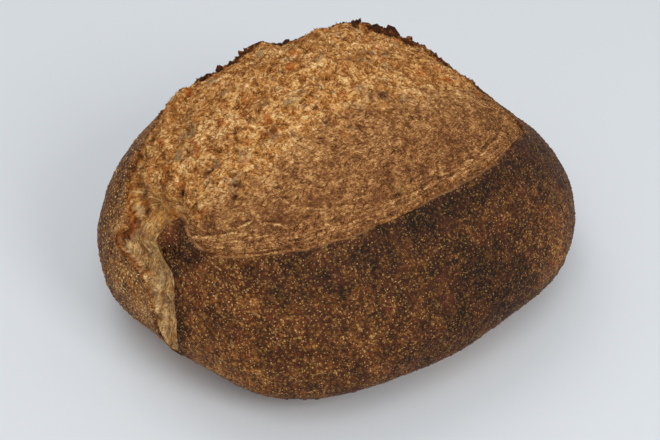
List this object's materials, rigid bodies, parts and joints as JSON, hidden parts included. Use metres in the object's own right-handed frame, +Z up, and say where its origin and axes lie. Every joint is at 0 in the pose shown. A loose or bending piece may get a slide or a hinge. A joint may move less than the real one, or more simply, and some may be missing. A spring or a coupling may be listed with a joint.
{
  "type": "sourdough loaf",
  "caption": "Oval hearth-baked sourdough loaf with a dark blistered crust, torn open along one long slash that lays bare the toasted crumb.",
  "frame": {"origin": "middle of the loaf's bounding box, on the surface that it rests on", "axes": "+X along the loaf towards its closed end, -Y towards the side whose crust ends in the slash's lip, +Z up"},
  "size_m": [0.2484, 0.2088, 0.1314],
  "materials": {
    "crust": "dark baked bread crust, dull with a faint sheen, blistered and speckled",
    "crumb": "torn, toasted bread crumb, matt, golden to brown"
  },
  "bodies": {
    "root": {"loaf": "crust"}
  },
  "joints": []
}
